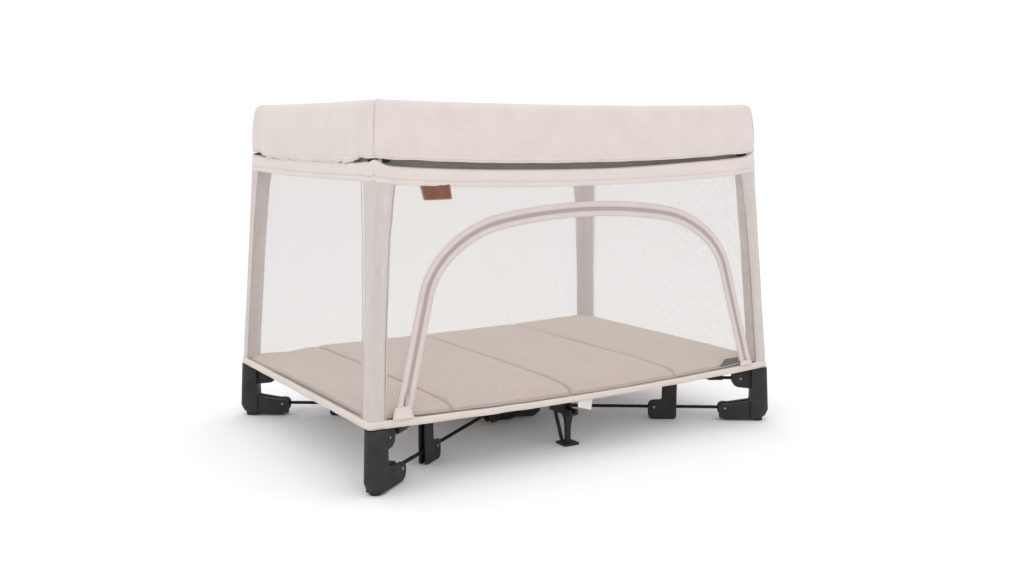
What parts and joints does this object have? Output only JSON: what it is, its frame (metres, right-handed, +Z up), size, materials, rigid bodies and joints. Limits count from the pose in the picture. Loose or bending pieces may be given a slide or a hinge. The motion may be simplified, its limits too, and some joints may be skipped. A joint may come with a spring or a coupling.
{
  "type": "folding playpen",
  "caption": "Rectangular folding playpen with net walls, padded top rails, corner legs, a zipped arch door and a folding mattress.",
  "frame": {"origin": "centre of the rectangle that the legs stand on, at floor level", "axes": "+X along the long sides, +Y from the door side to the back, +Z up"},
  "size_m": [1.0854, 0.7664, 0.766],
  "materials": {
    "charcoal_plastic": "fine grain",
    "black_steel": "satin",
    "grey_tube": "satin",
    "cover_fabric": "woven",
    "net_fabric": "open net",
    "mattress_fabric": "woven",
    "brown_leather": "smooth",
    "white_label": "satin",
    "grey_webbing": "ribbed",
    "zip_metal": "satin"
  },
  "bodies": {
    "hub": {"hub": "charcoal_plastic"},
    "handle": {"hub_handle": "charcoal_plastic"},
    "lower_spoke_fl": {"lower_bar_fl": "black_steel"},
    "upper_spoke_fl": {"upper_bar_fl": "black_steel"},
    "inner_support_fl": {"inner_leg_fl": "charcoal_plastic"},
    "corner_fl": {"corner_leg_fl": "charcoal_plastic", "corner_post_fl": "grey_tube", "top_corner_fl": "charcoal_plastic", "wall_fl": "net_fabric", "cover_fl": "cover_fabric", "tag": "brown_leather", "zip_slider": "zip_metal", "care_label": "white_label"},
    "long_half_fl": {"long_rail_fl": "grey_tube"},
    "short_half_fl": {"short_rail_fl": "grey_tube"},
    "lower_spoke_fr": {"lower_bar_fr": "black_steel"},
    "upper_spoke_fr": {"upper_bar_fr": "black_steel"},
    "inner_support_fr": {"inner_leg_fr": "charcoal_plastic"},
    "corner_fr": {"corner_leg_fr": "charcoal_plastic", "corner_post_fr": "grey_tube", "top_corner_fr": "charcoal_plastic", "wall_fr": "net_fabric", "cover_fr": "cover_fabric"},
    "long_half_fr": {"long_rail_fr": "grey_tube"},
    "short_half_fr": {"short_rail_fr": "grey_tube"},
    "lower_spoke_bl": {"lower_bar_bl": "black_steel"},
    "upper_spoke_bl": {"upper_bar_bl": "black_steel"},
    "inner_support_bl": {"inner_leg_bl": "charcoal_plastic"},
    "corner_bl": {"corner_leg_bl": "charcoal_plastic", "corner_post_bl": "grey_tube", "top_corner_bl": "charcoal_plastic", "wall_bl": "net_fabric", "cover_bl": "cover_fabric"},
    "long_half_bl": {"long_rail_bl": "grey_tube"},
    "short_half_bl": {"short_rail_bl": "grey_tube"},
    "lower_spoke_br": {"lower_bar_br": "black_steel"},
    "upper_spoke_br": {"upper_bar_br": "black_steel"},
    "inner_support_br": {"inner_leg_br": "charcoal_plastic"},
    "corner_br": {"corner_leg_br": "charcoal_plastic", "corner_post_br": "grey_tube", "top_corner_br": "charcoal_plastic", "wall_br": "net_fabric", "cover_br": "cover_fabric"},
    "long_half_br": {"long_rail_br": "grey_tube"},
    "short_half_br": {"short_rail_br": "grey_tube"},
    "middle_front": {"rail_hinge_front": "charcoal_plastic"},
    "middle_back": {"rail_hinge_back": "charcoal_plastic"},
    "middle_left": {"rail_hinge_left": "charcoal_plastic"},
    "middle_right": {"rail_hinge_right": "charcoal_plastic"},
    "support_spoke_front": {"support_bar_front": "black_steel"},
    "support_front": {"support_leg_front": "charcoal_plastic"},
    "support_spoke_back": {"support_bar_back": "black_steel"},
    "support_back": {"support_leg_back": "charcoal_plastic"},
    "mattress_panel_1": {"mattress_1": "mattress_fabric"},
    "mattress_panel_2": {"mattress_2": "mattress_fabric"},
    "mattress_panel_3": {"mattress_3": "mattress_fabric"},
    "mattress_panel_4": {"mattress_4": "mattress_fabric", "mattress_tab": "grey_webbing"},
    "door_half_left": {"door_left": "net_fabric"},
    "door_half_right": {"door_right": "net_fabric"}
  },
  "joints": [
    {"name": "hub_pull", "type": "slide", "parent": "hub", "child": "handle", "axis": [0, 0, 1], "range_m": [0, 0.02], "stiffness_N_per_m": 200},
    {"name": "frame_fold", "type": "hinge", "parent": "hub", "child": "lower_spoke_fl", "pos_m": [-0.0698, -0.04851, 0.03], "axis": [0.5707, -0.8212, 0], "range_deg": [0, 75], "deforming": ["wall_fl", "wall_fr", "wall_bl", "wall_br", "cover_fl", "cover_fr", "cover_bl", "cover_br", "door_left", "door_right", "mattress_1", "mattress_2", "mattress_3", "mattress_4", "tag", "zip_slider", "care_label", "mattress_tab"]},
    {"name": "upper_spoke_fl_fold", "type": "hinge", "parent": "hub", "child": "upper_spoke_fl", "pos_m": [-0.10018, -0.06963, 0.104], "axis": [0.5707, -0.8212, 0], "range_deg": [0, 75]},
    {"name": "inner_leg_fl_level", "type": "hinge", "parent": "lower_spoke_fl", "child": "inner_support_fl", "pos_m": [-0.30876, -0.21458, 0.03], "axis": [-0.5707, 0.8212, 0], "range_deg": [0, 75]},
    {"name": "corner_fl_level", "type": "hinge", "parent": "lower_spoke_fl", "child": "corner_fl", "pos_m": [-0.45082, -0.31331, 0.03], "axis": [-0.5707, 0.8212, 0], "range_deg": [0, 75]},
    {"name": "long_rail_fl_fold", "type": "hinge", "parent": "corner_fl", "child": "long_half_fl", "pos_m": [-0.453, -0.314, 0.722], "axis": [0, 1, 0], "range_deg": [0, 75]},
    {"name": "short_rail_fl_fold", "type": "hinge", "parent": "corner_fl", "child": "short_half_fl", "pos_m": [-0.473, -0.295, 0.722], "axis": [-1, 0, 0], "range_deg": [0, 75]},
    {"name": "lower_spoke_fr_fold", "type": "hinge", "parent": "hub", "child": "lower_spoke_fr", "pos_m": [0.0698, -0.04851, 0.03], "axis": [0.5707, 0.8212, 0], "range_deg": [0, 75]},
    {"name": "upper_spoke_fr_fold", "type": "hinge", "parent": "hub", "child": "upper_spoke_fr", "pos_m": [0.10018, -0.06963, 0.104], "axis": [0.5707, 0.8212, 0], "range_deg": [0, 75]},
    {"name": "inner_leg_fr_level", "type": "hinge", "parent": "lower_spoke_fr", "child": "inner_support_fr", "pos_m": [0.30876, -0.21458, 0.03], "axis": [-0.5707, -0.8212, 0], "range_deg": [0, 75]},
    {"name": "corner_fr_level", "type": "hinge", "parent": "lower_spoke_fr", "child": "corner_fr", "pos_m": [0.45082, -0.31331, 0.03], "axis": [-0.5707, -0.8212, 0], "range_deg": [0, 75]},
    {"name": "long_rail_fr_fold", "type": "hinge", "parent": "corner_fr", "child": "long_half_fr", "pos_m": [0.453, -0.314, 0.722], "axis": [0, -1, 0], "range_deg": [0, 75]},
    {"name": "short_rail_fr_fold", "type": "hinge", "parent": "corner_fr", "child": "short_half_fr", "pos_m": [0.473, -0.295, 0.722], "axis": [-1, 0, 0], "range_deg": [0, 75]},
    {"name": "lower_spoke_bl_fold", "type": "hinge", "parent": "hub", "child": "lower_spoke_bl", "pos_m": [-0.0698, 0.04851, 0.03], "axis": [-0.5707, -0.8212, 0], "range_deg": [0, 75]},
    {"name": "upper_spoke_bl_fold", "type": "hinge", "parent": "hub", "child": "upper_spoke_bl", "pos_m": [-0.10018, 0.06963, 0.104], "axis": [-0.5707, -0.8212, 0], "range_deg": [0, 75]},
    {"name": "inner_leg_bl_level", "type": "hinge", "parent": "lower_spoke_bl", "child": "inner_support_bl", "pos_m": [-0.30876, 0.21458, 0.03], "axis": [0.5707, 0.8212, 0], "range_deg": [0, 75]},
    {"name": "corner_bl_level", "type": "hinge", "parent": "lower_spoke_bl", "child": "corner_bl", "pos_m": [-0.45082, 0.31331, 0.03], "axis": [0.5707, 0.8212, 0], "range_deg": [0, 75]},
    {"name": "long_rail_bl_fold", "type": "hinge", "parent": "corner_bl", "child": "long_half_bl", "pos_m": [-0.453, 0.314, 0.722], "axis": [0, 1, 0], "range_deg": [0, 75]},
    {"name": "short_rail_bl_fold", "type": "hinge", "parent": "corner_bl", "child": "short_half_bl", "pos_m": [-0.473, 0.295, 0.722], "axis": [1, 0, 0], "range_deg": [0, 75]},
    {"name": "lower_spoke_br_fold", "type": "hinge", "parent": "hub", "child": "lower_spoke_br", "pos_m": [0.0698, 0.04851, 0.03], "axis": [-0.5707, 0.8212, 0], "range_deg": [0, 75]},
    {"name": "upper_spoke_br_fold", "type": "hinge", "parent": "hub", "child": "upper_spoke_br", "pos_m": [0.10018, 0.06963, 0.104], "axis": [-0.5707, 0.8212, 0], "range_deg": [0, 75]},
    {"name": "inner_leg_br_level", "type": "hinge", "parent": "lower_spoke_br", "child": "inner_support_br", "pos_m": [0.30876, 0.21458, 0.03], "axis": [0.5707, -0.8212, 0], "range_deg": [0, 75]},
    {"name": "corner_br_level", "type": "hinge", "parent": "lower_spoke_br", "child": "corner_br", "pos_m": [0.45082, 0.31331, 0.03], "axis": [0.5707, -0.8212, 0], "range_deg": [0, 75]},
    {"name": "long_rail_br_fold", "type": "hinge", "parent": "corner_br", "child": "long_half_br", "pos_m": [0.453, 0.314, 0.722], "axis": [0, -1, 0], "range_deg": [0, 75]},
    {"name": "short_rail_br_fold", "type": "hinge", "parent": "corner_br", "child": "short_half_br", "pos_m": [0.473, 0.295, 0.722], "axis": [1, 0, 0], "range_deg": [0, 75]},
    {"name": "rail_hinge_front_level", "type": "hinge", "parent": "long_half_fl", "child": "middle_front", "pos_m": [-0.072, -0.314, 0.722], "axis": [0, -1, 0], "range_deg": [0, 75]},
    {"name": "rail_hinge_back_level", "type": "hinge", "parent": "long_half_bl", "child": "middle_back", "pos_m": [-0.072, 0.314, 0.722], "axis": [0, -1, 0], "range_deg": [0, 75]},
    {"name": "rail_hinge_left_level", "type": "hinge", "parent": "short_half_fl", "child": "middle_left", "pos_m": [-0.473, -0.03, 0.722], "axis": [1, 0, 0], "range_deg": [0, 75]},
    {"name": "rail_hinge_right_level", "type": "hinge", "parent": "short_half_fr", "child": "middle_right", "pos_m": [0.473, -0.03, 0.722], "axis": [1, 0, 0], "range_deg": [0, 75]},
    {"name": "support_bar_front_fold", "type": "hinge", "parent": "hub", "child": "support_spoke_front", "pos_m": [0, -0.036, 0.085], "axis": [1, 0, 0], "range_deg": [0, 75]},
    {"name": "support_leg_front_level", "type": "hinge", "parent": "support_spoke_front", "child": "support_front", "pos_m": [0, -0.268, 0.085], "axis": [-1, 0, 0], "range_deg": [0, 75]},
    {"name": "support_bar_back_fold", "type": "hinge", "parent": "hub", "child": "support_spoke_back", "pos_m": [0, 0.036, 0.085], "axis": [-1, 0, 0], "range_deg": [0, 75]},
    {"name": "support_leg_back_level", "type": "hinge", "parent": "support_spoke_back", "child": "support_back", "pos_m": [0, 0.268, 0.085], "axis": [1, 0, 0], "range_deg": [0, 75]},
    {"name": "mattress_2_fold", "type": "hinge", "parent": "hub", "child": "mattress_panel_2", "pos_m": [-0.048, 0, 0.1625], "axis": [0, 1, 0], "range_deg": [0, 75]},
    {"name": "mattress_3_fold", "type": "hinge", "parent": "hub", "child": "mattress_panel_3", "pos_m": [-0.048, 0, 0.1625], "axis": [0, -1, 0], "range_deg": [0, 75]},
    {"name": "mattress_1_fold", "type": "hinge", "parent": "mattress_panel_2", "child": "mattress_panel_1", "pos_m": [-0.345, 0, 0.1505], "axis": [0, -1, 0], "range_deg": [0, 150]},
    {"name": "mattress_4_fold", "type": "hinge", "parent": "mattress_panel_3", "child": "mattress_panel_4", "pos_m": [0.248, 0, 0.1505], "axis": [0, 1, 0], "range_deg": [0, 150]},
    {"name": "door_flap", "type": "hinge", "parent": "corner_fl", "child": "door_half_left", "pos_m": [0, -0.37133, 0.152], "axis": [1, 0, 0], "range_deg": [0, 110]},
    {"name": "door_right_flap", "type": "hinge", "parent": "corner_fr", "child": "door_half_right", "pos_m": [0, -0.37133, 0.152], "axis": [1, 0, 0], "range_deg": [0, 110]}
  ],
  "couplings": [
    {"joint": "upper_spoke_fl_fold", "follows": "frame_fold", "ratio": 1},
    {"joint": "inner_leg_fl_level", "follows": "frame_fold", "ratio": 1},
    {"joint": "corner_fl_level", "follows": "frame_fold", "ratio": 1},
    {"joint": "long_rail_fl_fold", "follows": "frame_fold", "ratio": 1},
    {"joint": "short_rail_fl_fold", "follows": "frame_fold", "ratio": 1},
    {"joint": "lower_spoke_fr_fold", "follows": "frame_fold", "ratio": 1},
    {"joint": "upper_spoke_fr_fold", "follows": "frame_fold", "ratio": 1},
    {"joint": "inner_leg_fr_level", "follows": "frame_fold", "ratio": 1},
    {"joint": "corner_fr_level", "follows": "frame_fold", "ratio": 1},
    {"joint": "long_rail_fr_fold", "follows": "frame_fold", "ratio": 1},
    {"joint": "short_rail_fr_fold", "follows": "frame_fold", "ratio": 1},
    {"joint": "lower_spoke_bl_fold", "follows": "frame_fold", "ratio": 1},
    {"joint": "upper_spoke_bl_fold", "follows": "frame_fold", "ratio": 1},
    {"joint": "inner_leg_bl_level", "follows": "frame_fold", "ratio": 1},
    {"joint": "corner_bl_level", "follows": "frame_fold", "ratio": 1},
    {"joint": "long_rail_bl_fold", "follows": "frame_fold", "ratio": 1},
    {"joint": "short_rail_bl_fold", "follows": "frame_fold", "ratio": 1},
    {"joint": "lower_spoke_br_fold", "follows": "frame_fold", "ratio": 1},
    {"joint": "upper_spoke_br_fold", "follows": "frame_fold", "ratio": 1},
    {"joint": "inner_leg_br_level", "follows": "frame_fold", "ratio": 1},
    {"joint": "corner_br_level", "follows": "frame_fold", "ratio": 1},
    {"joint": "long_rail_br_fold", "follows": "frame_fold", "ratio": 1},
    {"joint": "short_rail_br_fold", "follows": "frame_fold", "ratio": 1},
    {"joint": "rail_hinge_front_level", "follows": "frame_fold", "ratio": 1},
    {"joint": "rail_hinge_back_level", "follows": "frame_fold", "ratio": 1},
    {"joint": "rail_hinge_left_level", "follows": "frame_fold", "ratio": 1},
    {"joint": "rail_hinge_right_level", "follows": "frame_fold", "ratio": 1},
    {"joint": "support_bar_front_fold", "follows": "frame_fold", "ratio": 1},
    {"joint": "support_leg_front_level", "follows": "frame_fold", "ratio": 1},
    {"joint": "support_bar_back_fold", "follows": "frame_fold", "ratio": 1},
    {"joint": "support_leg_back_level", "follows": "frame_fold", "ratio": 1},
    {"joint": "mattress_2_fold", "follows": "frame_fold", "ratio": 1},
    {"joint": "mattress_3_fold", "follows": "frame_fold", "ratio": 1},
    {"joint": "mattress_1_fold", "follows": "frame_fold", "ratio": 2},
    {"joint": "mattress_4_fold", "follows": "frame_fold", "ratio": 2},
    {"joint": "door_right_flap", "follows": "door_flap", "ratio": 1}
  ]
}
